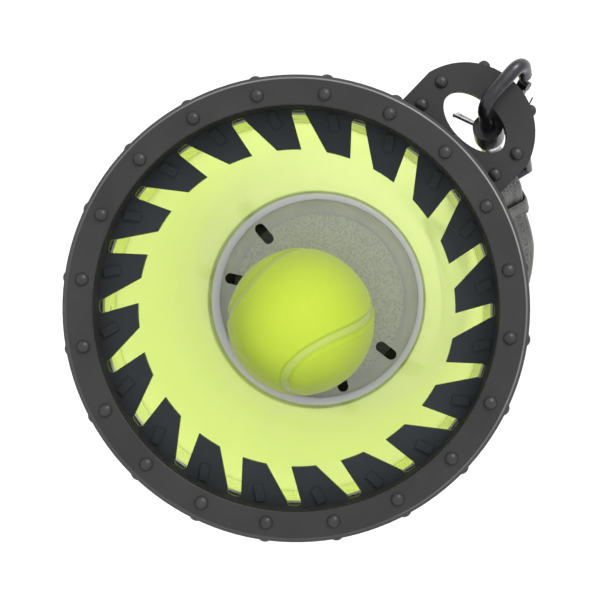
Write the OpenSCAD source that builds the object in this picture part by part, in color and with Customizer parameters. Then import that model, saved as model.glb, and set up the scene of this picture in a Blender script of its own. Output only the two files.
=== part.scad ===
// Ball retriever tube. It stands on its foot ring with the mouth up, and the strap ear points along +X.
// Millimetres. The origin is the centre of the foot ring's underside, and +Z runs up the tube.

/* [Tube] */
// Inner radius of the tube
tube_r = 46; // [45.6:0.1:46]
// Wall of the tube
tube_wall = 1.6; // [1.4:0.1:1.6]
// Height of the mouth's face above the ground
mouth_z = 400; // [380:5:440]
// Height at which the lime tube ends and the grey cup's bare wall begins
seat_z = 60; // [50:1:60]

/* [Mouth] */
// Outer radius of the face ring
face_r = 53.8; // [53.6:0.1:54.2]
// Inner radius of the face ring
face_in_r = 46.5; // [46.2:0.1:46.6]
// Depth from the mouth's face down to the toothed ring
face_depth = 9; // [8:0.5:10]
// Number of teeth, of face rivets and of side studs
tooth_count = 20; // [20:1:20]
// Radius of the circle through the teeth's tips
tip_r = 37.3; // [36:0.1:38]
// Thickness of the toothed ring
tooth_t = 2; // [1.5:0.1:2]
// Radius of the circle of face rivets
rivet_ring_r = 49.5; // [49.4:0.1:49.7]

/* [Ear] */
// Thickness of the hanger plate and its ear
ear_t = 3.5; // [3:0.1:3.5]
// Half the width of the ear
ear_half_w = 15.9; // [15.5:0.1:16.2]
// Distance of the ear's end circle from the tube's axis
ear_end_x = 57.2; // [57:0.1:57.4]
// Radius of the ear's end circle
ear_end_r = 16.5; // [16.4:0.1:16.6]
// Distance of the oval hole's centre from the tube's axis
hole_x = 60.6; // [60.4:0.1:60.8]
// Half the oval hole's size along the tube's radius
hole_half_r = 5.2; // [5:0.1:5.3]
// Half the oval hole's size across the ear
hole_half_w = 8.95; // [8.5:0.05:9]

/* [Base] */
// Outer radius of the base cup
cup_r = 51.5; // [51.3:0.1:52]
// Height of the top of the base cup's socket
cup_top_z = 80; // [78:1:84]
// Thickness of the foot ring
foot_t = 3; // [3:0.5:3]
// Thickness of the cup's floor
floor_t = 4; // [4:0.5:5]
// Thickness of the pad on the floor
pad_t = 2; // [1.5:0.5:2.5]

/* [Ball] */
// Radius over the felt
ball_r = 33; // [32.7:0.1:33.3]
// Thickness of the felt
felt_t = 3.4; // [3:0.1:3.6]

/* [Snap hook] */
// Half the hook's width, to the wire's middle
hook_half_w = 7.2; // [7.1:0.1:7.3]
// Radius of the hook's wire
wire_r = 1.7; // [1.6:0.1:1.7]
// Tilt of the hanging hook towards -Y
hook_tilt = 22; // [21:0.5:23]
// Lean of the hanging hook towards the tube
hook_lean = 9.4; // [9:0.2:10]
// Turn of the hook about its own length
hook_turn = 2.6; // [2:0.2:4]

/* [Strap] */
// Width of the webbing
strap_w = 12; // [10:0.5:12]
// Thickness of the webbing
strap_t = 1.6; // [1.4:0.1:1.6]

/* [Hidden] */
$fn = 96;
rim_fn = 48;
wire_fn = 32;
gap = 0.05;                                   // radial gap of a running or sliding fit
tube_out_r = tube_r + tube_wall;
plate_top_z = mouth_z - face_depth - tooth_t;
plate_z = plate_top_z - ear_t;
gasket_t = 1;
tube_top_z = plate_z - gasket_t;
collar_z = plate_z - 19.5;
collar_r = 53.1;
floor_z = foot_t + floor_t;
pad_z = floor_z + pad_t;
pitch = 360 / tooth_count;
lip = 0.4;                                    // width of the face ring's edge chamfers
drain_angles = [84, 121, -121, -84];          // of the drain slots, measured from the ear
rebate_r = 51.7;                              // the toothed ring lies in this rebate

// Toothed ring: angles from a rivet, at the tooth's root and at its tip
root_r = 46.4;
root_a = [-8.8, 5.0];
tip_a = [-12.1, -3.6];
gap_corner_r = 0.9;

// Rivets and studs
shank_r = 0.9;
head_r = 1.6;
head_h = 1.1;
ear_rivets_at = [[54.9, 11.9], [54.9, -11.9], [61.9, 12.2], [61.9, -12.2]];

// Small screws
screw_r = 1.4;
screw_head_r = 2.7;
collar_screw_z = collar_z + 8;
base_screw_z = cup_top_z - 10;
foot_screw_ring_r = 48;

// Snap hook, in the hook's own frame: it is centred near the ear's rim, +X is the nose side
rim_x = (hole_x + hole_half_r + ear_end_x + ear_end_r) / 2;
rim_z = plate_z + ear_t / 2;
hook_at = [rim_x + 0.3, -1.06];
hook_top_z = 7.2;
hook_corner_r = 4;
nose_z = 0.2;
barrel_x = -hook_half_w;
boss_z = [-9, -4.2];
boss_r = 3.6;
post_r = 1.2;
post_head_z = [-7.35, -6];
pivot = [1, 0, -8];
gate_tip = [6.5, 0, -3.6];
pin_r = 0.8;
trigger_r = 0.45;
trigger_line = [
  [4.2, 0.45, -5.45], [4.2, 3.9, -6.2], [-6, 4.3, -10.2],
  [-6.3, 10.6, -11], [-7.6, 10.6, -9.6], [-7, 4.3, -8.6]];
barrel_r = 2.5;
collar_top_z = -9.3;
barrel_top_z = -10.6;
barrel_end_z = -27;
eye_half_w = 8.8;
eye_top_z = -30;
eye_bar_z = -37.5;
eye_wire_r = 1.1;
eye_turn = -19;

// Strap: route of its middle line, [way round the tube from the ear, height], at radius strap_r
strap_r = 59.4;
strap_route = [
  [-21.52, 339.3], [-20.2, 342], [-18.62, 345.24], [-15.36, 349.14], [-13.38, 353.93],
  [-14.1, 355.92], [-16.15, 356.43], [-17.72, 355.01], [-18.99, 350.73], [-20.15, 346.43],
  [-21.91, 342.83], [-23.66, 339.24], [-29.2, 331.5], [-34, 320.5], [-39.5, 305],
  [-44.3, 287], [-47, 268], [-47, 248], [-43.5, 230], [-36.5, 216],
  [-26.5, 209.5], [-17, 213.5], [-11, 226], [-8.5, 243], [-8.5, 262],
  [-9.8, 281], [-12.5, 299], [-16.6, 315], [-22.97, 329.93], [-21.82, 334.34],
  [-20.25, 337.57], [-18.49, 341.17], [-17.35, 343.5]];
route_top_r = 58.5;                           // radius of its middle line where it is gathered
gathered_z = [324, 338];                      // heights between which the radius changes
eye_r = 59.33;                                // radius of the middle of the eye's bar
eye_slope = -0.052;                           // rise of the eye's bar per length along the radius
slope_from = [346.5, 352.7];                  // heights between which the strap takes up that slope
keeper_at = [-20.2, 342];
keeper_turn = -26;                            // lean of the sleeve, from straight down
route_steps = 3;                              // points of the swept strap per stretch of the route

// ---------- helpers ----------

module ring(r_in, r_out, z0, z1) {
  rotate_extrude() translate([r_in, z0]) square([r_out - r_in, z1 - z0]);
}

module around(count, first = 0) {
  for (i = [0 : count - 1]) rotate(first + i * 360 / count) children();
}

module on_ear() {
  for (at = ear_rivets_at) translate(at) children();
}

// A rivet whose head sits on the plane z = 0
module rivet(length) {
  dome_r = (head_r * head_r + head_h * head_h) / (2 * head_h);
  intersection() {
    translate([0, 0, head_h - dome_r]) sphere(r = dome_r, $fn = wire_fn);
    cylinder(r = 2 * head_r, h = 2 * head_h, $fn = wire_fn);
  }
  translate([0, 0, -length]) cylinder(r = shank_r, h = length, $fn = wire_fn);
}

// A screw along +X whose head's underside is at seat and whose tip is at tip
module radial_screw(tip, seat, head_h, head_radius = screw_head_r) {
  rotate([0, 90, 0]) {
    translate([0, 0, tip]) cylinder(r = screw_r, h = seat - tip, $fn = wire_fn);
    difference() {
      translate([0, 0, seat]) cylinder(r = head_radius, h = head_h, $fn = wire_fn);
      translate([0, 0, seat + head_h - 0.35]) cube([0.7, 3.4, 0.8], center = true);
      translate([0, 0, seat + head_h - 0.35]) cube([3.4, 0.7, 0.8], center = true);
    }
  }
}

module radial_hole(z, seat) {
  around(4, 45) translate([0, 0, z]) rotate([0, 90, 0]) {
    translate([0, 0, tube_r - 3]) cylinder(r = screw_r + gap, h = 12, $fn = wire_fn);
    translate([0, 0, seat]) cylinder(r = screw_head_r + 0.2, h = 6, $fn = wire_fn);
  }
}

module wire(from, to, r) {
  way = to - from;
  length = norm(way);
  translate(from)
    rotate([0, acos(way[2] / length), atan2(way[1], way[0])])
      cylinder(r = r, h = length, $fn = wire_fn);
}

// ---------- mouth ----------

module face_ring() {
  top = mouth_z;
  color([0.27, 0.27, 0.28]) difference() {
    union() {
      rotate_extrude() polygon([
        [face_in_r + lip, top], [face_r - 3 * lip, top], [face_r - 2 * lip, top - lip],
        [face_r, top - 3.5 * lip], [face_r, plate_top_z],
        [rebate_r, plate_top_z], [rebate_r, plate_top_z + tooth_t],
        [face_in_r, plate_top_z + tooth_t], [face_in_r, top - lip]]);
      around(tooth_count)
        translate([face_r - 0.9, 0, top - 5.5]) sphere(r = 1.9, $fn = wire_fn);
    }
    around(tooth_count)
      translate([rivet_ring_r, 0, plate_top_z - 1])
        cylinder(r = shank_r + gap, h = face_depth + tooth_t + 2, $fn = wire_fn);
  }
}

module face_rivets() {
  color([0.3, 0.3, 0.31])
    around(tooth_count)
      translate([rivet_ring_r, 0, mouth_z]) rivet(face_depth + tooth_t + ear_t + 6);
}

// The space between two neighbouring teeth, with round corners at the root
module tooth_gap() {
  a0 = root_a[1];
  a1 = root_a[0] + pitch;
  inner_r = root_r - gap_corner_r;
  half_corner = asin(gap_corner_r / inner_r) * 1.02;
  polygon([
    polar(inner_r, a0), polar(inner_r, a1),
    polar(tip_r - 1, tip_a[0] + pitch - 0.4), polar(tip_r - 1, tip_a[1] - 0.9)]);
  polygon([
    polar(root_r, a0 + half_corner), polar(root_r, a1 - half_corner),
    polar(inner_r - 0.1, a1 - half_corner), polar(inner_r - 0.1, a0 + half_corner)]);
  for (a = [a0 + half_corner, a1 - half_corner])
    translate(polar(inner_r, a)) circle(r = gap_corner_r, $fn = wire_fn);
}

function polar(r, a) = [r * cos(a), r * sin(a)];

module tooth_ring() {
  z0 = plate_top_z;
  rib = [4, 2, 0.6];
  color([0.17, 0.19, 0.2]) difference() {
    union() {
      translate([0, 0, z0]) linear_extrude(tooth_t) difference() {
        circle(r = rebate_r - 0.1);
        circle(r = tip_r);
        around(tooth_count) tooth_gap();
      }
      around(tooth_count, -2.6)
        translate([root_r - 0.4, 0, z0 + tooth_t - 0.1])
          rotate(21) translate([-rib[0], -rib[1] / 2, 0]) cube([rib[0], rib[1], rib[2] + 0.1]);
    }
    around(tooth_count)
      translate([rivet_ring_r, 0, z0 - 1])
        cylinder(r = shank_r + gap, h = tooth_t + 2, $fn = wire_fn);
  }
}

module oval(half_x, half_y) {
  steps = 48;
  polygon([for (i = [0 : steps - 1]) [half_x * cos(i * 360 / steps), half_y * sin(i * 360 / steps)]]);
}

module hanger_plate() {
  stud_x = ear_end_x + sqrt(ear_end_r * ear_end_r - 7.5 * 7.5);
  color([0.28, 0.28, 0.29]) difference() {
    union() {
      translate([0, 0, plate_z]) linear_extrude(ear_t) difference() {
        union() {
          circle(r = collar_r);
          translate([40, -ear_half_w]) square([ear_end_x - 40, 2 * ear_half_w]);
          translate([ear_end_x, 0]) intersection() {
            circle(r = ear_end_r);
            translate([0, -ear_half_w]) square([2 * ear_end_r, 2 * ear_half_w]);
          }
        }
        circle(r = face_in_r);
        translate([hole_x, 0]) oval(hole_half_r, hole_half_w);
      }
      for (side = [-1, 1])
        translate([stud_x - 0.3, side * 7.5, rim_z]) sphere(r = 1.5, $fn = wire_fn);
    }
    around(tooth_count)
      translate([rivet_ring_r, 0, plate_z - 1])
        cylinder(r = shank_r + gap, h = ear_t + 2, $fn = wire_fn);
    on_ear() translate([0, 0, plate_z - 1])
      cylinder(r = shank_r + gap, h = ear_t + 2, $fn = wire_fn);
  }
}

module ear_rivets() {
  color([0.3, 0.3, 0.31]) on_ear() translate([0, 0, plate_top_z]) rivet(ear_t + 4.5);
}

// Two brackets under the ear, one along each flank
module ear_gussets() {
  depth = 5.5;
  inner_x = collar_r + 0.05;
  color([0.24, 0.24, 0.25]) difference() {
    for (side = [-1, 1])
      translate([0, side * 12, plate_z]) rotate([90, 0, 0])
        linear_extrude(4, center = true)
          polygon([[inner_x - 0.6, 0], [65, 0], [65, -1.6], [inner_x, -depth - 4]]);
    cylinder(r = collar_r, h = mouth_z);
    on_ear() translate([0, 0, plate_z - depth - 5])
      cylinder(r = shank_r + gap, h = depth + 6, $fn = wire_fn);
  }
}

module mouth_collar() {
  bevel = 2;
  color([0.25, 0.25, 0.26]) difference() {
    rotate_extrude() polygon([
      [tube_out_r + gap, collar_z], [collar_r - bevel, collar_z], [collar_r, collar_z + bevel],
      [collar_r, plate_z], [tube_out_r + gap, plate_z]]);
    around(tooth_count)
      translate([rivet_ring_r, 0, plate_z - 6.2])
        cylinder(r = shank_r + gap, h = 7.2, $fn = wire_fn);
    radial_hole(collar_screw_z, collar_r - 1.9);
  }
}

module collar_screws() {
  color([0.55, 0.55, 0.57])
    around(4, 45) translate([0, 0, collar_screw_z]) radial_screw(tube_r + 0.3, collar_r - 1.9, 1.6);
}

module tube_gasket() {
  color([0.12, 0.12, 0.13]) ring(tube_r + 0.5, tube_out_r, tube_top_z, plate_z);
}

// ---------- tube and base ----------

module tube() {
  color([0.8, 0.93, 0.4]) difference() {
    ring(tube_r, tube_out_r, seat_z, tube_top_z);
    radial_hole(collar_screw_z, collar_r);
    radial_hole(base_screw_z, collar_r);
  }
}

module drain_slots(z0, z1) {
  inner = 34;
  outer = 45;
  half_w = 2.5;
  for (a = drain_angles) rotate(a) translate([0, 0, z0]) {
    translate([inner + half_w, -half_w, 0]) cube([outer - inner - 2 * half_w, 2 * half_w, z1 - z0]);
    for (x = [inner + half_w, outer - half_w])
      translate([x, 0, 0]) cylinder(r = half_w, h = z1 - z0, $fn = wire_fn);
  }
}

module base_cup() {
  bevel = 1;
  color([0.62, 0.64, 0.64]) difference() {
    rotate_extrude() polygon([
      [0, foot_t], [cup_r - bevel, foot_t], [cup_r, foot_t + bevel], [cup_r, cup_top_z - bevel],
      [cup_r - bevel, cup_top_z], [tube_out_r + gap, cup_top_z], [tube_out_r + gap, seat_z],
      [tube_r, seat_z], [tube_r, floor_z], [0, floor_z]]);
    drain_slots(foot_t - 1, floor_z + 1);
    radial_hole(base_screw_z, cup_r - 1.9);
    around(4, 45) translate([foot_screw_ring_r, 0, 0])
      cylinder(r = screw_r + gap, h = foot_t + 9.2, $fn = wire_fn);
  }
}

module base_screws() {
  color([0.55, 0.55, 0.57])
    around(4, 45) translate([0, 0, base_screw_z]) radial_screw(tube_r + 0.3, cup_r - 1.9, 1.6);
}

module floor_pad() {
  color([0.5, 0.51, 0.52]) difference() {
    translate([0, 0, floor_z]) cylinder(r = 39.5, h = pad_t);
    drain_slots(floor_z - 1, pad_z + 1);
  }
}

module foot_ring() {
  color([0.13, 0.13, 0.14]) difference() {
    rotate_extrude() polygon([[40.5, 0], [50.4, 0], [51, 0.6], [51, foot_t], [40.5, foot_t]]);
    around(4, 45) translate([foot_screw_ring_r, 0, -1]) {
      cylinder(r = screw_r + gap, h = foot_t + 2, $fn = wire_fn);
      cylinder(r = 2.5, h = 2.5, $fn = wire_fn);
    }
  }
}

module foot_screws() {
  head_h = 1.1;
  color([0.55, 0.55, 0.57])
    around(4, 45) translate([foot_screw_ring_r, 0, 0]) rotate([0, 90, 0])
      radial_screw(-foot_t - 9, -1.5, head_h, 2.3);
}

// ---------- snap hook ----------

module on_hook() {
  translate([hook_at[0], hook_at[1], rim_z])
    rotate([-hook_tilt, hook_lean, 0]) rotate(hook_turn) children();
}

module along_y(at, r, half_l) {
  translate(at) rotate([90, 0, 0]) cylinder(r = r, h = 2 * half_l, center = true, $fn = wire_fn);
}

module hook_corner(turn) {
  rotate([90, 0, 0]) rotate(turn) rotate_extrude(angle = 90)
    translate([hook_corner_r, 0]) circle(r = wire_r, $fn = wire_fn);
}

module hook_body() {
  lug_half = 2.75;
  slot_half = 1.25;
  lug_z = boss_z[0] + 2.8;
  bend_x = hook_half_w - hook_corner_r;
  bend_z = hook_top_z - hook_corner_r;
  color([0.1, 0.1, 0.11]) on_hook() difference() {
    union() {
      translate([bend_x, 0, bend_z]) hook_corner(0);
      translate([-bend_x, 0, bend_z]) hook_corner(90);
      wire([-bend_x, 0, hook_top_z], [bend_x, 0, hook_top_z], wire_r);
      wire([-hook_half_w, 0, boss_z[1] - 0.7], [-hook_half_w, 0, bend_z], wire_r);
      wire([hook_half_w, 0, nose_z], [hook_half_w, 0, bend_z], wire_r);
      translate([hook_half_w, 0, nose_z]) sphere(r = wire_r, $fn = wire_fn);
      translate([barrel_x, 0, boss_z[0]]) cylinder(r = boss_r, h = boss_z[1] - boss_z[0], $fn = rim_fn);
      translate([barrel_x, -lug_half, boss_z[0]])
        cube([pivot[0] - barrel_x, 2 * lug_half, lug_z - boss_z[0]]);
      along_y(pivot, 2, lug_half);
    }
    translate([barrel_x, 0, boss_z[0] - 1]) cylinder(r = post_r + gap, h = 3, $fn = wire_fn);
    translate([barrel_x, 0, post_head_z[0] - 0.05]) cylinder(r = 2.25, h = 1.8, $fn = wire_fn);
    translate([barrel_x + boss_r + 0.3, -slot_half, boss_z[0] - 2]) cube([10, 2 * slot_half, 6]);
    along_y(pivot, pin_r, 6);
  }
}

module gate_lever() {
  half_t = 0.95;
  way = gate_tip - pivot;
  color([0.35, 0.35, 0.37]) on_hook() difference() {
    union() {
      along_y(pivot, 1.9, half_t);
      along_y(gate_tip, 1.2, half_t + 0.4);
      translate(pivot) rotate([0, 90 - atan2(way[2], way[0]), 0])
        translate([-1.1, -half_t, 0]) cube([2.2, 2 * half_t, norm(way)]);
    }
    along_y(pivot, pin_r + gap, 6);
    wire(trigger_line[0], trigger_line[1], trigger_r);
  }
}

// Bent wire that the thumb pulls, with one end pressed into the gate's side
module gate_trigger() {
  last = len(trigger_line) - 1;
  color([0.6, 0.6, 0.62]) on_hook() {
    for (i = [0 : last - 1]) wire(trigger_line[i], trigger_line[i + 1], trigger_r);
    for (i = [1 : last]) translate(trigger_line[i]) sphere(r = 1.25 * trigger_r, $fn = wire_fn);
  }
}

module gate_pin() {
  color([0.6, 0.6, 0.62]) on_hook() {
    translate(pivot + [0, 3, 0]) rotate([90, 0, 0]) cylinder(r = pin_r, h = 7.9, $fn = wire_fn);
    translate(pivot + [0, 3.4, 0]) rotate([90, 0, 0]) cylinder(r = 1.3, h = 0.6, $fn = wire_fn);
  }
}

// Torsion spring beside the lug, with one leg along the gate and one on the boss
module gate_spring() {
  r = 0.3;
  coil_r = 1.35;
  color([0.7, 0.7, 0.72]) on_hook() {
    for (y = [-3.2, -3.75, -4.3])
      translate(pivot + [0, y, 0]) rotate([90, 0, 0])
        rotate_extrude($fn = wire_fn) translate([coil_r, 0]) circle(r = r, $fn = 16);
    wire(pivot + [coil_r, -3.3, 0], [5.6, -3.3, -5.2], 0.8 * r);
    wire(pivot + [-coil_r, -4.2, 0], [-5.2, -4.2, -8.2], 0.8 * r);
  }
}

module swivel_post() {
  color([0.55, 0.55, 0.57]) on_hook() {
    wire([barrel_x, 0, barrel_end_z], [barrel_x, 0, post_head_z[0]], post_r);
    wire([barrel_x, 0, post_head_z[0]], [barrel_x, 0, post_head_z[1]], 2);
  }
}

module barrel_collar() {
  color([0.45, 0.45, 0.47]) on_hook()
    translate([barrel_x, 0, 0]) ring(post_r, 3.3, barrel_top_z, collar_top_z);
}

module swivel_barrel() {
  color([0.08, 0.08, 0.09]) on_hook()
    translate([barrel_x, 0, 0]) ring(post_r, barrel_r, barrel_end_z, barrel_top_z);
}

module swivel_eye() {
  corners = [
    [eye_half_w, 0, eye_top_z], [eye_half_w, 0, eye_bar_z],
    [-eye_half_w, 0, eye_bar_z], [-eye_half_w, 0, eye_top_z]];
  color([0.12, 0.12, 0.13]) on_hook() translate([barrel_x, 0, 0]) rotate(eye_turn) {
    for (i = [0 : 3]) {
      wire(corners[i], corners[(i + 1) % 4], eye_wire_r);
      translate(corners[i]) sphere(r = eye_wire_r, $fn = wire_fn);
    }
    translate([0, 0, eye_top_z - 0.6])
      cylinder(r = barrel_r, h = barrel_end_z - eye_top_z + 0.6, $fn = wire_fn);
  }
}

// ---------- strap ----------

// Catmull-Rom curve through the route
function spline(p, i, t) =
  let (
    a = p[max(i - 1, 0)], b = p[i], c = p[i + 1], d = p[min(i + 2, len(p) - 1)])
  0.5 * (2 * b + (c - a) * t + (2 * a - 5 * b + 4 * c - d) * t * t + (3 * b - a - 3 * c + d) * t * t * t);

function smooth_route(p, steps) = [
  for (i = [0 : len(p) - 2], k = [0 : steps - 1]) spline(p, i, k / steps),
  p[len(p) - 1]];

// How far a height lies between two others, from 0 to 1
function share(z, span) = max(0, min(1, (z - span[0]) / (span[1] - span[0])));

// A point of the strap: [way round, height] of its middle line, step off it, step across its width
function on_tube(at, off, across) =
  let (
    way = (at[0] + off[0]) / strap_r * 180 / PI,
    r = strap_r + share(at[1], gathered_z) * (route_top_r - strap_r) + across)
  [r * cos(way), r * sin(way), at[1] + off[1] + share(at[1], slope_from) * eye_slope * (r - eye_r)];

module strap_loop() {
  line = smooth_route(strap_route, route_steps);
  n = len(line);
  across = [for (i = [0 : n - 1])
    let (way = line[min(i + 1, n - 1)] - line[max(i - 1, 0)])
    [way[1], -way[0]] / norm(way) * strap_t / 2];
  points = [for (i = [0 : n - 1], corner = [[1, -1], [1, 1], [-1, 1], [-1, -1]])
    on_tube(line[i], across[i] * corner[0], corner[1] * strap_w / 2)];
  sides = [for (i = [0 : n - 2], k = [0 : 3])
    let (a = 4 * i + k, b = 4 * i + (k + 1) % 4)
    [a, b, b + 4, a + 4]];
  ends = [[3, 2, 1, 0], [4 * n - 4, 4 * n - 3, 4 * n - 2, 4 * n - 1]];
  color([0.42, 0.42, 0.43]) polyhedron(points, concat(sides, ends), convexity = 6);
}

// Sleeve that holds the strap's three layers together below the eye
module strap_keeper() {
  inner = [strap_w + 0.4, 6.4];
  wall = 0.6;
  length = 7;
  color([0.36, 0.36, 0.37])
    rotate(keeper_at[0] / strap_r * 180 / PI) translate([route_top_r, 0, keeper_at[1]])
      rotate([keeper_turn, 0, 0]) difference() {
        cube([inner[0] + 2 * wall, inner[1] + 2 * wall, length], center = true);
        cube([inner[0], inner[1], length + 2], center = true);
      }
}

// ---------- ball ----------

module at_ball() {
  rest = tube_r - ball_r - 0.4;
  translate([rest * cos(-173), rest * sin(-173), pad_z + ball_r + 0.1]) children();
}

module ball_core() {
  color([0.2, 0.2, 0.2]) at_ball() difference() {
    sphere(r = ball_r - felt_t);
    sphere(r = ball_r - felt_t - 3.2);
  }
}

module ball_felt() {
  color([0.82, 0.97, 0.3]) at_ball() difference() {
    sphere(r = ball_r);
    sphere(r = ball_r - felt_t);
  }
}

face_ring();
face_rivets();
tooth_ring();
hanger_plate();
ear_rivets();
ear_gussets();
mouth_collar();
collar_screws();
tube_gasket();
tube();
base_cup();
base_screws();
floor_pad();
foot_ring();
foot_screws();
hook_body();
gate_lever();
gate_trigger();
gate_pin();
gate_spring();
swivel_post();
swivel_barrel();
barrel_collar();
swivel_eye();
strap_loop();
strap_keeper();
ball_core();
ball_felt();
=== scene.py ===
"""Ball retriever tube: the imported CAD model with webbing, felt, rubber and moulded plastic, in metres."""

import math

import bpy
import numpy as np
from mathutils import Matrix, Vector


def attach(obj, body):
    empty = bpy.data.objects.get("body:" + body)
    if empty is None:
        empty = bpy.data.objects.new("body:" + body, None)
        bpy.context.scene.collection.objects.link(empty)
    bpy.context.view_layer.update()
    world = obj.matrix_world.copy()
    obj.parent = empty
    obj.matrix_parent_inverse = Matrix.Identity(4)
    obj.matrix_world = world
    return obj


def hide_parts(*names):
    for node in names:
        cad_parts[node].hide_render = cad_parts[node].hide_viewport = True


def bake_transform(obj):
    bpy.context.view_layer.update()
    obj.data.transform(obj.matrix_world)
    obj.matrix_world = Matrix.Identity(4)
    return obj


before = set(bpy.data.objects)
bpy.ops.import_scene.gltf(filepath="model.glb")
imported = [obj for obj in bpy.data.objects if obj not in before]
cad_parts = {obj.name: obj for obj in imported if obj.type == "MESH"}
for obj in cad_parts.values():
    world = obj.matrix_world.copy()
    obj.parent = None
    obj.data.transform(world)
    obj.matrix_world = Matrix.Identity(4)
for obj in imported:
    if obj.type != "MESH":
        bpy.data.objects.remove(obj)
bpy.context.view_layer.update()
scene = bpy.context.scene

# ---------------------------------------------------------------- camera

EYE = Vector((0.01065, -0.00461, 0.780))
IMAGE_TURN = math.radians(46.2)                      # the strap ear points to the picture's upper right
RIGHT_0 = Vector((math.cos(IMAGE_TURN), -math.sin(IMAGE_TURN), 0))
UP_0 = Vector((math.sin(IMAGE_TURN), math.cos(IMAGE_TURN), 0))


def unit(v):
    v = np.asarray(v, float)
    return v / np.linalg.norm(v, axis=-1, keepdims=True)


back = (1660 * Vector((0, 0, 1)) + 42 * RIGHT_0 + 11 * UP_0).normalized()
right = (RIGHT_0 - RIGHT_0.dot(back) * back).normalized()
up = back.cross(right)
camera_data = bpy.data.cameras.new("camera")
camera_data.lens = 99.6
camera_data.sensor_width = 36
camera_data.clip_start = 0.01
camera_data.clip_end = 50
camera = bpy.data.objects.new("camera", camera_data)
scene.collection.objects.link(camera)
camera.matrix_world = Matrix.Translation(EYE) @ Matrix((right, up, back)).transposed().to_4x4()
scene.camera = camera

# ---------------------------------------------------------------- mesh helpers


def make_object(name, vertices, faces, smooth=True):
    mesh = bpy.data.meshes.new(name)
    mesh.from_pydata([tuple(map(float, v)) for v in vertices], [], [tuple(map(int, f)) for f in faces])
    mesh.validate()
    if smooth:
        mesh.shade_smooth()
    made = bpy.data.objects.new(name, mesh)
    scene.collection.objects.link(made)
    return made


def put_attribute(obj, name, values):
    """A per-vertex 3-vector that a material reads, such as a strip's length and width in metres."""
    attribute = obj.data.attributes.new(name, "FLOAT_VECTOR", "POINT")
    attribute.data.foreach_set("vector", np.asarray(values, np.float32).ravel())


def joined(parts):
    """Vertex and face lists of several shells as one."""
    vertices, faces, start = [], [], 0
    for v, f in parts:
        vertices.extend(v)
        faces.extend([tuple(i + start for i in face) for face in f])
        start += len(v)
    return vertices, faces


def sweep_strip(centres, wide, thick, section):
    """A closed flat strip: section is (across, through) points round its edge, turned counter-clockwise."""
    count, around = len(centres), len(section)
    vertices = np.concatenate([
        c + np.outer(section[:, 0], w) + np.outer(section[:, 1], t)
        for c, w, t in zip(centres, wide, thick)])
    faces = []
    for i in range(count - 1):
        for k in range(around):
            a, b = i * around + k, i * around + (k + 1) % around
            faces.append((a, b, b + around, a + around))
    faces.append(tuple(range(around))[::-1])
    faces.append(tuple((count - 1) * around + k for k in range(around)))
    return vertices, faces


def capsule(start, end, radius, sides=6):
    """A short thread or pin with rounded ends."""
    start, end = np.asarray(start, float), np.asarray(end, float)
    along = unit(end - start)
    side = unit(np.cross(along, [0.3, 0.5, 0.81]))
    other = np.cross(along, side)
    rings = [(start - 0.7 * radius * along, 0.5), (start, 1), (end, 1), (end + 0.7 * radius * along, 0.5)]
    vertices, faces = [], []
    for centre, share in rings:
        for k in range(sides):
            a = 2 * math.pi * k / sides
            vertices.append(centre + share * radius * (math.cos(a) * side + math.sin(a) * other))
    for i in range(len(rings) - 1):
        for k in range(sides):
            a, b = i * sides + k, i * sides + (k + 1) % sides
            faces.append((a, b, b + sides, a + sides))
    faces.append(tuple(range(sides))[::-1])
    faces.append(tuple((len(rings) - 1) * sides + k for k in range(sides)))
    return vertices, faces


# ---------------------------------------------------------------- the strap: a doubled webbing loop

STRAP_R = 0.0594
STRAP_TOP_R = 0.0585                                 # where the strap is gathered under the swivel
GATHERED_Z = (0.324, 0.338)
SLOPE_Z = (0.3465, 0.3527)
EYE_SLOPE, EYE_R = -0.052, 0.05933
STRAP_W = 0.012
STRAP_T = 0.0016
STRAP_ROUTE = [
    (-21.52, 339.3), (-20.2, 342), (-18.62, 345.24), (-15.36, 349.14), (-13.38, 353.93), (-14.1, 355.92),
    (-16.15, 356.43), (-17.72, 355.01), (-18.99, 350.73), (-20.15, 346.43), (-21.91, 342.83),
    (-23.66, 339.24),
    (-29.2, 331.5), (-34, 320.5), (-39.5, 305), (-44.3, 287), (-47, 268), (-47, 248),
    (-43.5, 230), (-36.5, 216), (-26.5, 209.5), (-17, 213.5), (-11, 226), (-8.5, 243),
    (-8.5, 262), (-9.8, 281), (-12.5, 299), (-16.6, 315), (-22.97, 329.93), (-21.82, 334.34),
    (-20.25, 337.57), (-18.49, 341.17), (-17.35, 343.5)]


def catmull(points, steps):
    """A smooth line through the points, with the end points repeated."""
    p = np.array([points[0], *points, points[-1]], float)
    line = []
    for i in range(1, len(p) - 2):
        a, b, c, d = p[i - 1:i + 3]
        for k in range(steps):
            t = k / steps
            line.append(0.5 * (2 * b + (c - a) * t + (2 * a - 5 * b + 4 * c - d) * t ** 2
                               + (3 * b - a - 3 * c + d) * t ** 3))
    line.append(p[-2])
    return np.array(line)


def share(value, span):
    return np.clip((np.asarray(value) - span[0]) / (span[1] - span[0]), 0, 1)


def on_wrap(way, height, across=0.0):
    """The strap's point that lies that far round the tube from the ear and that high, in metres."""
    angle = np.asarray(way) / STRAP_R
    radius = STRAP_R + share(height, GATHERED_Z) * (STRAP_TOP_R - STRAP_R) + across
    rise = share(height, SLOPE_Z) * EYE_SLOPE * (radius - EYE_R)
    return np.stack([radius * np.cos(angle), radius * np.sin(angle), np.asarray(height) + rise], -1)


def strip_frames(centres, outward):
    tangent = unit(np.gradient(centres, axis=0))
    wide = unit(outward - np.sum(outward * tangent, 1, keepdims=True) * tangent)
    return wide, unit(np.cross(tangent, wide))


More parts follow.
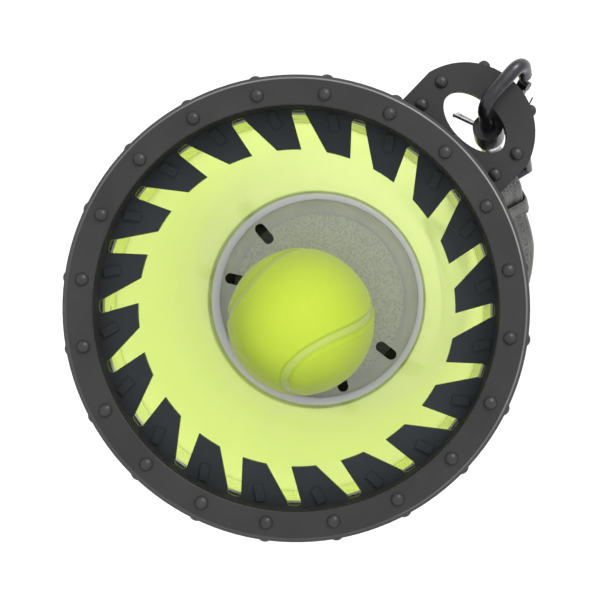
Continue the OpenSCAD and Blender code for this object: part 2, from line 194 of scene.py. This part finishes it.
def webbing_section(width, thickness):
    """Webbing seen end on: flat, a little crowned, with a fuller selvedge on each edge."""
    half, edge = width / 2, thickness / 2
    xs = np.array([-0.92, -0.8, -0.62, -0.4, -0.2, 0, 0.2, 0.4, 0.62, 0.8, 0.92]) * half
    crown = edge * (0.93 + 0.07 * np.cos(np.linspace(-6, 6, len(xs)))) * np.array(
        [0.97, 1, 0.86, 0.9, 0.94, 0.95, 0.94, 0.9, 0.86, 1, 0.97])
    lower = [(x, -c) for x, c in zip(xs, crown)]
    upper = [(x, c) for x, c in zip(xs[::-1], crown)]
    return np.array(lower + [(half * 0.985, -edge * 0.5), (half, 0), (half * 0.985, edge * 0.5)]
                    + upper + [(-half * 0.985, edge * 0.5), (-half, 0), (-half * 0.985, -edge * 0.5)])


way = catmull(STRAP_ROUTE, 8) / 1000
strap_line = on_wrap(way[:, 0], way[:, 1])
strap_length = float(np.linalg.norm(np.diff(strap_line, axis=0), axis=1).sum())
strap_wide, strap_thick = strip_frames(strap_line, on_wrap(way[:, 0], way[:, 1], 0.001) - strap_line)
section = webbing_section(STRAP_W, STRAP_T)
strap = make_object("wrist_strap", *sweep_strip(strap_line, strap_wide, strap_thick, section))
run = np.concatenate([[0], np.cumsum(np.linalg.norm(np.diff(strap_line, axis=0), axis=1))])
put_attribute(strap, "lay", [(s, x, y) for s in run for x, y in section])

# ---------------------------------------------------------------- materials


class Paint:
    """A procedural material: a Principled shader whose inputs come from noise in real-size coordinates."""

    def __init__(self, name, **sockets):
        self.material = bpy.data.materials.new(name)
        self.material.use_nodes = True
        self.tree = self.material.node_tree
        self.shader = self.tree.nodes["Principled BSDF"]
        for socket, value in sockets.items():
            self.shader.inputs[socket.replace("_", " ")].default_value = value
        self.place = self.node("ShaderNodeTexCoord").outputs["Object"]

    def node(self, kind, inputs=None, **settings):
        made = self.tree.nodes.new(kind)
        for key, value in settings.items():
            setattr(made, key, value)
        for key, value in (inputs or {}).items():
            if isinstance(value, bpy.types.NodeSocket):
                self.tree.links.new(value, made.inputs[key])
            else:
                made.inputs[key].default_value = value
        return made

    def attribute(self, name):
        return self.node("ShaderNodeAttribute", attribute_name=name).outputs["Vector"]

    def stretched(self, scale, place=None, turn=(0, 0, 0)):
        return self.node("ShaderNodeMapping", {
            "Vector": place or self.place, "Scale": scale, "Rotation": turn}).outputs[0]

    def noise(self, scale, detail=3, rough=0.55, place=None):
        return self.node("ShaderNodeTexNoise", {
            "Vector": place or self.place, "Scale": scale, "Detail": detail, "Roughness": rough}).outputs[0]

    def cells(self, scale, place=None, feature="F1"):
        return self.node("ShaderNodeTexVoronoi", {
            "Vector": place or self.place, "Scale": scale}, feature=feature).outputs["Distance"]

    def maths(self, operation, a, b=0.0, c=0.0):
        return self.node("ShaderNodeMath", {0: a, 1: b, 2: c}, operation=operation).outputs[0]

    def parts(self, vector):
        return self.node("ShaderNodeSeparateXYZ", {0: vector}).outputs

    def span(self, value, low, high, to_low=0.0, to_high=1.0):
        return self.node("ShaderNodeMapRange", {
            "Value": value, "From Min": low, "From Max": high,
            "To Min": to_low, "To Max": to_high}).outputs[0]

    def mix(self, share, a, b, blend="MIX"):
        made = self.node("ShaderNodeMix", data_type="RGBA", blend_type=blend)
        for socket, value in ((made.inputs[0], share), (made.inputs[6], a), (made.inputs[7], b)):
            if isinstance(value, bpy.types.NodeSocket):
                self.tree.links.new(value, socket)
            else:
                is_colour = hasattr(value, "__len__") and len(value) == 3
                socket.default_value = (*value, 1.0) if is_colour else value
        return made.outputs[2]

    def bump(self, height, distance, strength=1.0, normal=None):
        inputs = {"Height": height, "Distance": distance, "Strength": strength}
        if normal is not None:
            inputs["Normal"] = normal
        return self.node("ShaderNodeBump", inputs).outputs[0]

    def set(self, socket, value):
        self.tree.links.new(value, self.shader.inputs[socket])
        return self

    def let_through(self, share, colour):
        """Plastic that passes on part of the light that falls on its other side."""
        through = self.node("ShaderNodeBsdfTranslucent", {"Color": colour})
        both = self.node("ShaderNodeMixShader", {0: share, 1: self.shader.outputs[0], 2: through.outputs[0]})
        self.tree.links.new(both.outputs[0], self.tree.nodes["Material Output"].inputs["Surface"])


def hexed(r, g, b):
    """A display colour, 0 to 255, as the linear colour that shaders take."""
    return tuple((c / 255 / 12.92 if c <= 10 else ((c / 255 + 0.055) / 1.055) ** 2.4) for c in (r, g, b))


def moulded(name, dark, light, rough, grain=2600, depth=0.00003, patch=60, dust=0.5, **sockets):
    """Moulded plastic or rubber: soft patches of tone, fine grain, faint scuffs and a little dust."""
    p = Paint(name, **sockets)
    patches = p.span(p.noise(patch, 4, 0.6), 0.3, 0.7)
    fine = p.noise(grain, 2, 0.6)
    colour = p.mix(patches, dark, light)
    colour = p.mix(p.span(fine, 0.35, 0.7, 0, 0.35), colour, light)
    if dust:
        speck = p.span(p.cells(420), 0.0, 0.13, 1, 0)
        chosen = p.span(p.noise(190, 1), 0.62, 0.7)
        bright = tuple(min(1, c * 3.2 + 0.05) for c in light)
        colour = p.mix(p.maths("MULTIPLY", p.maths("MULTIPLY", speck, chosen), dust), colour, bright)
    scuff = p.noise(900, 3, 0.6, p.stretched((1, 0.05, 0.3), turn=(0.2, 0.4, 0.9)))
    p.set("Base Color", colour)
    p.set("Roughness", p.maths("ADD", p.span(scuff, 0.3, 0.75, rough - 0.03, rough + 0.03),
                               p.span(fine, 0.3, 0.7, -0.04, 0.04)))
    p.set("Normal", p.bump(fine, depth, 1.0, p.bump(scuff, depth * 0.15)))
    return p


ring_plastic = moulded("ring_plastic", hexed(34, 33, 34), hexed(46, 45, 46), 0.5, dust=0.5,
                       Specular_IOR_Level=0.3)


def round_ring(p):
    """How far a point is from the tube's axis, and how high it is."""
    out = p.node("ShaderNodeVectorMath", {0: p.stretched((1, 1, 0))}, operation="LENGTH").outputs["Value"]
    return out, p.parts(p.place)[2]


def painted_edge_highlight(p, bright):
    """A painted highlight along the face ring's outer edge, brightest on the strap's side, where the key
    light falls.
    """
    colour = p.shader.inputs["Base Color"].links[0].from_socket
    out, height = round_ring(p)
    off = p.maths("ABSOLUTE", p.maths("SUBTRACT", out, 0.0529))
    line = p.maths("MULTIPLY", p.span(off, 0.00014, 0.00024, 1, 0), p.span(height, 0.3993, 0.3994))
    # painted highlight: the edge line is made lighter towards +X, the key light's side, in noisy patches
    side = p.span(p.parts(p.place)[0], -0.03, 0.05, 0.12, 1)
    lit_side_patches = p.maths("MULTIPLY", p.span(p.noise(45, 3, 0.6), 0.35, 0.6, 0.6, 1), side)
    p.set("Base Color", p.mix(p.maths("MULTIPLY", line, lit_side_patches), colour, bright))


def painted_well_shade(p):
    """Inside the face ring the colour is darkened as painted shade in the recess, and the moulding is quite
    matt.
    """
    colour = p.shader.inputs["Base Color"].links[0].from_socket
    rough = p.shader.inputs["Roughness"].links[0].from_socket
    out, height = round_ring(p)
    inside = p.maths("MULTIPLY", p.span(out, 0.04662, 0.04666, 1, 0), p.span(height, 0.3998, 0.39985, 1, 0))
    # painted shade: the face ring's inner wall is darkened to this near black
    p.set("Base Color", p.mix(inside, colour, hexed(16, 16, 17)))
    p.set("Roughness", p.maths("MAXIMUM", rough, inside))


# painted highlight along the face ring's outer edge, in this light grey
painted_edge_highlight(ring_plastic, hexed(128, 127, 127))
painted_well_shade(ring_plastic)
rivet_plastic = moulded("rivet_plastic", hexed(28, 27, 28), hexed(44, 43, 44), 0.4, patch=300, dust=0.15,
                        Specular_IOR_Level=0.45)
tooth_rubber = moulded("tooth_rubber", hexed(20, 26, 29), hexed(30, 37, 40), 0.55, grain=1500, patch=90,
                       dust=0.35, Specular_IOR_Level=0.3)
black_rubber = moulded("black_rubber", hexed(22, 22, 23), hexed(36, 36, 37), 0.75, grain=1800, dust=0.5)
grey_plastic = moulded("grey_plastic", hexed(222, 222, 228), hexed(231, 231, 236), 0.42, dust=0.0)
on_floor = grey_plastic.span(grey_plastic.parts(grey_plastic.place)[2], 0.0073, 0.0085, 0, 0.62)
grey_plastic.let_through(on_floor, (0.76, 0.76, 0.79, 1))


COLLAR_EDGE_Z = (0.3655, 0.367)                       # heights just below and above the collar's lower edge
WALL_PASSES = 0.7                                     # share of light that the free wall passes
HELD_LOSS = -0.65                                     # how much less of it passes where the wall is held


def lime():
    """The tube: glossy plastic with faint draw lines, which passes less light inside the collar, where its
    lime is painted paler as painted light against the collar's shade.
    """
    p = Paint("lime_plastic", Specular_IOR_Level=1.0, Coat_Weight=1.0, Coat_Roughness=0.05)
    lines = p.noise(420, 3, 0.6, p.stretched((1, 1, 0.012)))
    cloud = p.noise(30, 3, 0.5)
    colour = p.mix(p.span(cloud, 0.3, 0.7), (0.865, 0.93, 0.56), (0.88, 0.935, 0.6))
    colour = p.mix(p.span(lines, 0.45, 0.75, 0, 0.3), colour, (0.85, 0.92, 0.53))
    p.set("Roughness", p.span(lines, 0.3, 0.7, 0.12, 0.2))
    p.set("Normal", p.bump(lines, 0.00004))
    held_and_painted_light = p.span(p.parts(p.place)[2], *COLLAR_EDGE_Z)
    # painted light: inside the collar the wall's lime is made paler, to lift the shade that the collar casts
    # there
    colour = p.mix(held_and_painted_light, colour, (0.93, 0.965, 0.72))
    p.set("Base Color", colour)
    p.let_through(p.maths("MULTIPLY_ADD", held_and_painted_light, HELD_LOSS, WALL_PASSES), colour)
    return p


lime_plastic = lime()


def foam():
    p = Paint("pad_foam")
    pores = p.cells(900)
    p.set("Base Color", p.mix(p.span(pores, 0.1, 0.6), hexed(206, 206, 218), hexed(230, 230, 238)))
    p.set("Roughness", p.span(p.noise(300), 0.3, 0.7, 0.8, 0.95))
    p.set("Normal", p.bump(pores, 0.0002, 0.7))
    return p


pad_foam = foam()


def metal(name, dark, light, rough, scratch=0.00001, brushed=(1, 1, 0.05), **sockets):
    """Plated or plain metal: brushed lines, finger-mark patches and slight tone changes."""
    p = Paint(name, Metallic=1.0, **sockets)
    lines = p.noise(2400, 3, 0.6, p.stretched(brushed))
    marks = p.noise(260, 4, 0.6)
    p.set("Base Color", p.mix(p.span(marks, 0.3, 0.7), dark, light))
    p.set("Roughness", p.maths("ADD", p.span(marks, 0.3, 0.7, rough - 0.05, rough + 0.08),
                               p.span(lines, 0.3, 0.7, -0.03, 0.05)))
    p.set("Normal", p.bump(lines, scratch))
    return p


steel = metal("steel", hexed(150, 150, 152), hexed(186, 186, 188), 0.3)
bright_metal = metal("bright_metal", hexed(170, 170, 172), hexed(214, 214, 216), 0.22)
black_metal = metal("black_metal", hexed(40, 39, 42), hexed(62, 61, 65), 0.36,
                    Coat_Weight=0.4, Coat_Roughness=0.2)
black_chrome = metal("black_chrome", hexed(52, 52, 55), hexed(74, 74, 78), 0.14,
                     Coat_Weight=0.6, Coat_Roughness=0.05)


def webbing(name, dark, light, attribute="lay"):
    """Woven nylon tape: chevron ribs along its length, twelve columns wide, with a thicker plain edge."""
    p = Paint(name, Sheen_Weight=0.12, Sheen_Roughness=0.5, Specular_IOR_Level=0.3)
    along, across, _ = p.parts(p.attribute(attribute))
    chevron = p.maths("PINGPONG", across, 0.001)
    rib = p.maths("SINE", p.maths("MULTIPLY", p.maths("ADD", along, p.maths("MULTIPLY", chevron, 0.9)),
                                  2 * math.pi / 0.0011))
    column = p.maths("ABSOLUTE", p.maths("SINE", p.maths("MULTIPLY", across, math.pi / 0.001)))
    height = p.maths("ADD", p.maths("MULTIPLY", rib, 0.5), p.maths("MULTIPLY", column, 0.8))
    strands = p.noise(4000, 2, 0.6)
    worn = p.noise(80, 4, 0.6)
    colour = p.mix(p.span(height, -0.4, 1.2), dark, light)
    colour = p.mix(p.span(worn, 0.45, 0.75, 0, 0.35), colour, tuple(c * 1.35 for c in light))
    colour = p.mix(p.span(strands, 0.4, 0.7, 0, 0.3), colour, dark)
    p.set("Base Color", colour)
    p.set("Roughness", p.span(strands, 0.3, 0.7, 0.66, 0.86))
    p.set("Normal", p.bump(height, 0.00012, 0.8, p.bump(strands, 0.00003)))
    return p


strap_webbing = webbing("webbing", hexed(76, 76, 78), hexed(104, 104, 106))


def thread():
    p = Paint("stitch_thread", Sheen_Weight=0.1)
    twist = p.noise(5000, 2)
    p.set("Base Color", p.mix(p.span(twist, 0.3, 0.7), hexed(84, 84, 86), hexed(112, 112, 113)))
    p.set("Roughness", p.span(twist, 0.3, 0.7, 0.6, 0.8))
    p.set("Normal", p.bump(twist, 0.00003))
    return p


stitch_thread = thread()


def felt():
    """Wool and nylon felt: matted fibres that run every way, a paler nap and a darker edge at the seam."""
    p = Paint("felt", Sheen_Weight=1.0, Sheen_Roughness=0.6)
    p.shader.inputs["Sheen Tint"].default_value = (0.9, 1.0, 0.55, 1)
    mat = p.noise(1300, 4, 0.65)
    hair = p.noise(2600, 2, 0.7, p.stretched((1, 0.12, 0.5), turn=(0.5, 0.3, 1.1)))
    hair_2 = p.noise(2600, 2, 0.7, p.stretched((0.15, 1, 0.4), turn=(1.2, 0.8, 0.2)))
    fuzz = p.maths("MAXIMUM", hair, hair_2)
    colour = p.mix(p.span(mat, 0.3, 0.7), hexed(242, 254, 128), hexed(252, 255, 150))
    colour = p.mix(p.span(fuzz, 0.5, 0.8, 0, 0.5), colour, hexed(250, 255, 165))
    near = p.parts(p.attribute("seam"))[0]
    colour = p.mix(p.span(near, 0.0021, 0.0034, 0.3, 0), colour, hexed(190, 220, 80))
    p.set("Base Color", colour)
    p.set("Roughness", p.span(mat, 0.3, 0.7, 0.88, 1.0))
    p.set("Normal", p.bump(fuzz, 0.00035, 0.6, p.bump(mat, 0.0004, 0.5)))
    return p


ball_felt = felt()
seam_rubber = moulded("seam_rubber", hexed(236, 240, 196), hexed(246, 249, 212), 0.6, grain=900, dust=0.0)
ball_rubber = moulded("ball_rubber", hexed(60, 60, 58), hexed(80, 80, 76), 0.7, dust=0.0)

# ---------------------------------------------------------------- materials onto the CAD nodes

FINISH = {
    "face_ring": (ring_plastic, "ring_plastic"),
    "face_rivets": (rivet_plastic, "rivet_plastic"),
    "tooth_ring": (tooth_rubber, "tooth_rubber"),
    "hanger_plate": (ring_plastic, "ring_plastic"),
    "ear_rivets": (rivet_plastic, "rivet_plastic"),
    "ear_gussets": (ring_plastic, "ring_plastic"),
    "mouth_collar": (ring_plastic, "ring_plastic"),
    "collar_screws": (steel, "steel"),
    "tube_gasket": (black_rubber, "black_rubber"),
    "tube": (lime_plastic, "lime_plastic"),
    "base_cup": (grey_plastic, "grey_plastic"),
    "base_screws": (steel, "steel"),
    "floor_pad": (pad_foam, "pad_foam"),
    "foot_ring": (black_rubber, "black_rubber"),
    "foot_screws": (steel, "steel"),
    "hook_body": (black_metal, "black_metal"),
    "gate_lever": (black_metal, "black_metal"),
    "gate_trigger": (bright_metal, "bright_metal"),
    "gate_pin": (steel, "steel"),
    "gate_spring": (bright_metal, "bright_metal"),
    "swivel_post": (steel, "steel"),
    "swivel_barrel": (black_chrome, "black_chrome"),
    "barrel_collar": (bright_metal, "bright_metal"),
    "swivel_eye": (black_metal, "black_metal"),
    "strap_keeper": (strap_webbing, "webbing"),
    "ball_core": (ball_rubber, "ball_rubber"),
}
for node_name, (paint, slot_name) in FINISH.items():
    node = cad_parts[node_name]
    node.data.materials.clear()
    node.data.materials.append(paint.material)

# ---------------------------------------------------------------- the strap: webbing finish, in place of the CAD strap loop, baked where it lies

strap.data.materials.append(strap_webbing.material)
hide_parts("strap_loop")


def with_strap(obj):
    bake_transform(obj)
    return obj


with_strap(strap)

# ---------------------------------------------------------------- the keeper: a sewn sleeve on the strap

KEEPER_AT = (-0.0202, 0.342)
KEEPER_DIR = (-math.sin(math.radians(26)), -math.cos(math.radians(26)))


def keeper():
    """A short tube of folded webbing, with rounded corners and a row of stitches down its outer edge."""
    centre = on_wrap(*KEEPER_AT)
    angle = KEEPER_AT[0] / STRAP_R
    radial = np.array([math.cos(angle), math.sin(angle), 0])
    round_way = np.array([-math.sin(angle), math.cos(angle), 0])
    axis = unit(KEEPER_DIR[0] * round_way + KEEPER_DIR[1] * np.array([0, 0, 1.0]))
    flat = unit(np.cross(axis, radial))
    half_w, half_t, wall, length = 0.0069, 0.0039, 0.0007, 0.007

    def loop(w, t, corner, count=7):
        points = []
        for cx, cy, start in ((w, t, 0), (-w, t, 90), (-w, -t, 180), (w, -t, 270)):
            ox = cx - math.copysign(corner, cx)
            oy = cy - math.copysign(corner, cy)
            for k in range(count):
                a = math.radians(start + 90 * k / (count - 1))
                points.append((ox + corner * math.cos(a), oy + corner * math.sin(a)))
        return points

    profile = [(0, 0.5), (0.35, 0.14), (1, 0), (6, 0), (6.65, 0.14),
               (7, 0.5), (6.65, 0.86), (6, 1), (1, 1), (0.35, 0.86)]
    vertices, lay = [], []
    per = None
    for step, inset in profile:
        points = loop(half_w - wall * inset, half_t - wall * inset, 0.0016 - wall * inset * 0.8)
        per = len(points)
        around_run = 0.0
        for k, (x, y) in enumerate(points):
            if k:
                around_run += math.hypot(x - points[k - 1][0], y - points[k - 1][1])
            vertices.append(centre + axis * (step / 7 - 0.5) * length + radial * x + flat * y)
            lay.append((around_run, step / 7 * length - length / 2, inset * wall))
    faces = []
    rows = len(profile)
    for i in range(rows):
        for k in range(per):
            a, b = i * per + k, i * per + (k + 1) % per
            c, d = ((i + 1) % rows) * per + (k + 1) % per, ((i + 1) % rows) * per + k
            faces.append((a, b, c, d))
    sleeve = make_object("strap_sleeve", vertices, faces)
    put_attribute(sleeve, "lay", lay)
    sleeve.data.materials.append(strap_webbing.material)
    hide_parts("strap_keeper")
    threads = []
    for side in (-1, 1):
        for row in (-0.0024, 0.0024):
            for k in range(6):
                x = (k - 2.5) * 0.0021
                start = centre + axis * row + radial * (x - 0.0007) + flat * side * (half_t + 0.00005)
                end = centre + axis * row + radial * (x + 0.0007) + flat * side * (half_t + 0.00005)
                threads.append(capsule(start, end, 0.00022))
    sewn = make_object("sleeve_stitches", *joined(threads))
    sewn.data.materials.append(stitch_thread.material)
    return [with_strap(sleeve), with_strap(sewn)]


keeper_pieces = keeper()


def strap_stitches():
    """Two rows of lockstitch along each edge of the strap, sunk a little into it."""
    threads = []
    pitch, run_at = 0.0034, 0.004
    stops = run
    while run_at < strap_length - 0.004:
        centre = np.array([np.interp(run_at, stops, strap_line[:, i]) for i in range(3)])
        ahead = np.array([np.interp(run_at + 0.0021, stops, strap_line[:, i]) for i in range(3)])
        wide = unit(np.array([np.interp(run_at, stops, strap_wide[:, i]) for i in range(3)]))
        thick = unit(np.array([np.interp(run_at, stops, strap_thick[:, i]) for i in range(3)]))
        for across in (-0.0038, 0.0038):
            for face in (-1, 1):
                lift = wide * across + thick * face * (STRAP_T / 2 * 0.9)
                threads.append(capsule(centre + lift, ahead + lift, 0.00018))
        run_at += pitch
    sewn = make_object("strap_stitches", *joined(threads))
    sewn.data.materials.append(stitch_thread.material)
    return with_strap(sewn)


strap_sewing = strap_stitches()

# ---------------------------------------------------------------- the ball: felt cover and rubber seam

BALL_AT = np.array([-0.0125, -0.0015, 0.0421])
BALL_R = 0.033
SEAM_HALF = 0.0019
SEAM_B = 0.2
SEAM_TURN = (-0.6939, 3.3373, -2.2794)


def seam_curve(count):
    """The tennis ball's closed seam, as unit vectors."""
    t = np.linspace(0, 2 * np.pi, count, endpoint=False)
    a, b = 1 - SEAM_B, SEAM_B
    curve = np.stack([a * np.cos(t) + b * np.cos(3 * t), a * np.sin(t) - b * np.sin(3 * t),
                      2 * math.sqrt(a * b) * np.sin(2 * t)], -1)
    return unit(curve)


def turned(points, angles):
    cx, cy, cz = (math.cos(angle) for angle in angles)
    sx, sy, sz = (math.sin(angle) for angle in angles)
    m = (np.array([[cz, -sz, 0], [sz, cz, 0], [0, 0, 1]]) @ np.array([[cy, 0, sy], [0, 1, 0], [-sy, 0, cy]])
         @ np.array([[1, 0, 0], [0, cx, -sx], [0, sx, cx]]))
    return points @ m.T


def round_cube(cuts):
    """A ball of even quads: a cube's six faces, cut and pushed out to unit length."""
    vertices, faces, index = [], [], {}
    steps = np.tan(np.linspace(-math.pi / 4, math.pi / 4, cuts + 1))
    axes = [((1, 0, 0), (0, 1, 0), (0, 0, 1)), ((-1, 0, 0), (0, 0, 1), (0, 1, 0)),
            ((0, 1, 0), (0, 0, 1), (1, 0, 0)), ((0, -1, 0), (1, 0, 0), (0, 0, 1)),
            ((0, 0, 1), (1, 0, 0), (0, 1, 0)), ((0, 0, -1), (0, 1, 0), (1, 0, 0))]
    for normal, u, v in np.array(axes, float):
        grid = {}
        for i, a in enumerate(steps):
            for j, b in enumerate(steps):
                p = unit(normal + a * u + b * v)
                key = tuple(np.round(p, 6))
                if key not in index:
                    index[key] = len(vertices)
                    vertices.append(p)
                grid[i, j] = index[key]
        for i in range(cuts):
            for j in range(cuts):
                faces.append((grid[i, j], grid[i + 1, j], grid[i + 1, j + 1], grid[i, j + 1]))
    return np.array(vertices), faces


def lumps(points, seed, scale, count=5):
    """Smooth random waves over unit vectors, about -1 to 1."""
    rng = np.random.default_rng(seed)
    total = np.zeros(len(points))
    for _ in range(count):
        direction = unit(rng.normal(size=3)) * scale * rng.uniform(0.6, 1.4)
        total += np.sin(points @ direction + rng.uniform(0, 6.28))
    return total / count


def ball():
    seam = turned(seam_curve(1440), SEAM_TURN)
    points, faces = round_cube(76)
    nearest = np.concatenate([(chunk @ seam.T).max(1) for chunk in np.array_split(points, 40)])
    away = np.arccos(np.clip(nearest, -1, 1)) * BALL_R
    groove = np.clip((away - SEAM_HALF) / 0.0011, 0, 1)
    sink = 0.0011 * (1 - groove * groove * (3 - 2 * groove))
    puff = 0.00022 * np.exp(-((away - 0.0036) / 0.0012) ** 2)
    nap = 0.00018 * lumps(points, 5, 90, 14) + 0.00012 * lumps(points, 6, 160, 14)
    radius = BALL_R - 0.00035 - sink + puff + nap * (away > SEAM_HALF)
    cover = make_object("felt_cover", BALL_AT + points * radius[:, None], faces)
    put_attribute(cover, "seam", np.stack([away, away, away], -1))
    cover.data.materials.append(ball_felt.material)
    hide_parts("ball_felt")
    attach(cover, "ball")
    line = turned(seam_curve(360), SEAM_TURN)
    along = unit(np.roll(line, -1, 0) - np.roll(line, 1, 0))
    side = np.cross(line, along)
    shape = [(-1, -0.5), (-0.86, 0.16), (-0.5, 0.36), (0, 0.42), (0.5, 0.36), (0.86, 0.16), (1, -0.5)]
    vertices = [BALL_AT + unit(l + s * x * SEAM_HALF * 1.08 / BALL_R) * (BALL_R - 0.00135 + y * 0.0007)
                for l, s in zip(line, side) for x, y in shape]
    n, m = len(line), len(shape)
    faces = [(i * m + k, i * m + (k + 1) % m, ((i + 1) % n) * m + (k + 1) % m, ((i + 1) % n) * m + k)
             for i in range(n) for k in range(m)]
    strip = make_object("seam_line", vertices, [f[::-1] for f in faces])
    strip.data.materials.append(seam_rubber.material)
    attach(strip, "ball")


ball()

# ---------------------------------------------------------------- floor and light


FLOOR_GLOW = 0.82                                     # glow that takes the floor to white away from the part
FLOOR_GLOW_R = (0.05, 0.11)                           # radii between which the glow starts
KEY_AT, KEY_TARGET = (1.2, 0.25, 1.25), (0, 0, 0.35)
KEY_SIZE, KEY_POWER = 0.6, 13
SKY_SIDES, SKY_TOP = 1.08, 1.25                       # strength of the light from the sides and from above


def floor():
    slab = make_object("floor", [(-4, -4, -0.0002), (4, -4, -0.0002), (4, 4, -0.0002), (-4, 4, -0.0002)],
                       [(0, 1, 2, 3)], smooth=False)
    p = Paint("floor_white", Roughness=0.9, Specular_IOR_Level=0.1)
    p.shader.inputs["Base Color"].default_value = (0.3, 0.3, 0.3, 1)
    p.shader.inputs["Emission Color"].default_value = (1, 1, 1, 1)
    away = p.node("ShaderNodeVectorMath", {0: p.place}, operation="LENGTH").outputs["Value"]
    p.set("Emission Strength", p.span(away, *FLOOR_GLOW_R, 0.0, FLOOR_GLOW))
    slab.data.materials.append(p.material)


floor()


def area_light(name, at, target, size, power, colour=(1, 1, 1)):
    data = bpy.data.lights.new(name, "AREA")
    data.shape = "DISK"
    data.size = size
    data.energy = power
    data.color = colour
    made = bpy.data.objects.new(name, data)
    scene.collection.objects.link(made)
    made.location = at
    made.rotation_euler = (Vector(target) - Vector(at)).to_track_quat("-Z", "Y").to_euler()
    return made


area_light("key", KEY_AT, KEY_TARGET, KEY_SIZE, KEY_POWER)
world = bpy.data.worlds.new("studio")
scene.world = world
world.use_nodes = True
world.node_tree.nodes["Background"].inputs["Color"].default_value = (1, 1, 1, 1)
sky = world.node_tree
direction = sky.nodes.new("ShaderNodeTexCoord").outputs["Generated"]
height = sky.nodes.new("ShaderNodeSeparateXYZ")
fade = sky.nodes.new("ShaderNodeMapRange")
for name, value in (("From Min", 0.15), ("From Max", 0.85), ("To Min", SKY_SIDES), ("To Max", SKY_TOP)):
    fade.inputs[name].default_value = value
sky.links.new(direction, height.inputs[0])
sky.links.new(height.outputs["Z"], fade.inputs["Value"])
sky.links.new(fade.outputs[0], sky.nodes["Background"].inputs["Strength"])
scene.view_settings.view_transform = "Standard"
scene.view_settings.look = "None"
